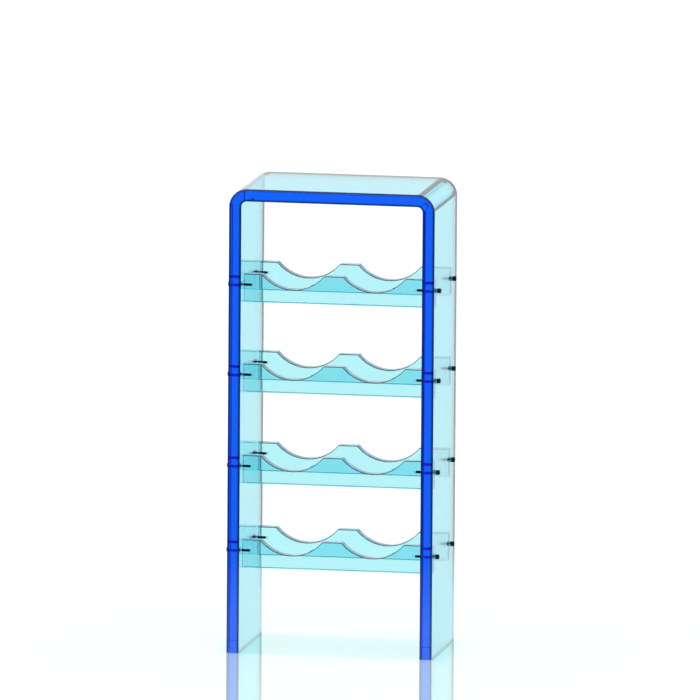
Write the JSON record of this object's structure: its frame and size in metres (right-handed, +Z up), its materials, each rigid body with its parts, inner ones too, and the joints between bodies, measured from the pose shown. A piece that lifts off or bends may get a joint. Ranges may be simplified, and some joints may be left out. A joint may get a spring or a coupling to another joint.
{
  "type": "wine rack",
  "caption": "Free-standing bottle rack: a clear bent-acrylic frame with a blue front edge, and tiers of scalloped rails that cradle lying bottles.",
  "frame": {"origin": "on the floor, at the centre of the footprint", "axes": "+Z up, +Y to the back so the blue front edge faces -Y, +X to the right seen from the front"},
  "size_m": [0.456, 0.27, 0.99],
  "materials": {
    "clear_acrylic": "polished clear acrylic with a pale cyan tint",
    "blue_edge": "polished deep blue acrylic",
    "dark_screws": "black steel, satin"
  },
  "bodies": {
    "root": {"frame": "clear_acrylic", "front_edge_strip": "blue_edge", "tier_1_front_rail": "clear_acrylic", "tier_1_front_left_screw": "dark_screws", "tier_1_front_right_screw": "dark_screws", "tier_1_rear_rail": "clear_acrylic", "tier_1_rear_left_screw": "dark_screws", "tier_1_rear_right_screw": "dark_screws", "tier_2_front_rail": "clear_acrylic", "tier_2_front_left_screw": "dark_screws", "tier_2_front_right_screw": "dark_screws", "tier_2_rear_rail": "clear_acrylic", "tier_2_rear_left_screw": "dark_screws", "tier_2_rear_right_screw": "dark_screws", "tier_3_front_rail": "clear_acrylic", "tier_3_front_left_screw": "dark_screws", "tier_3_front_right_screw": "dark_screws", "tier_3_rear_rail": "clear_acrylic", "tier_3_rear_left_screw": "dark_screws", "tier_3_rear_right_screw": "dark_screws", "tier_4_front_rail": "clear_acrylic", "tier_4_front_left_screw": "dark_screws", "tier_4_front_right_screw": "dark_screws", "tier_4_rear_rail": "clear_acrylic", "tier_4_rear_left_screw": "dark_screws", "tier_4_rear_right_screw": "dark_screws"}
  },
  "joints": []
}
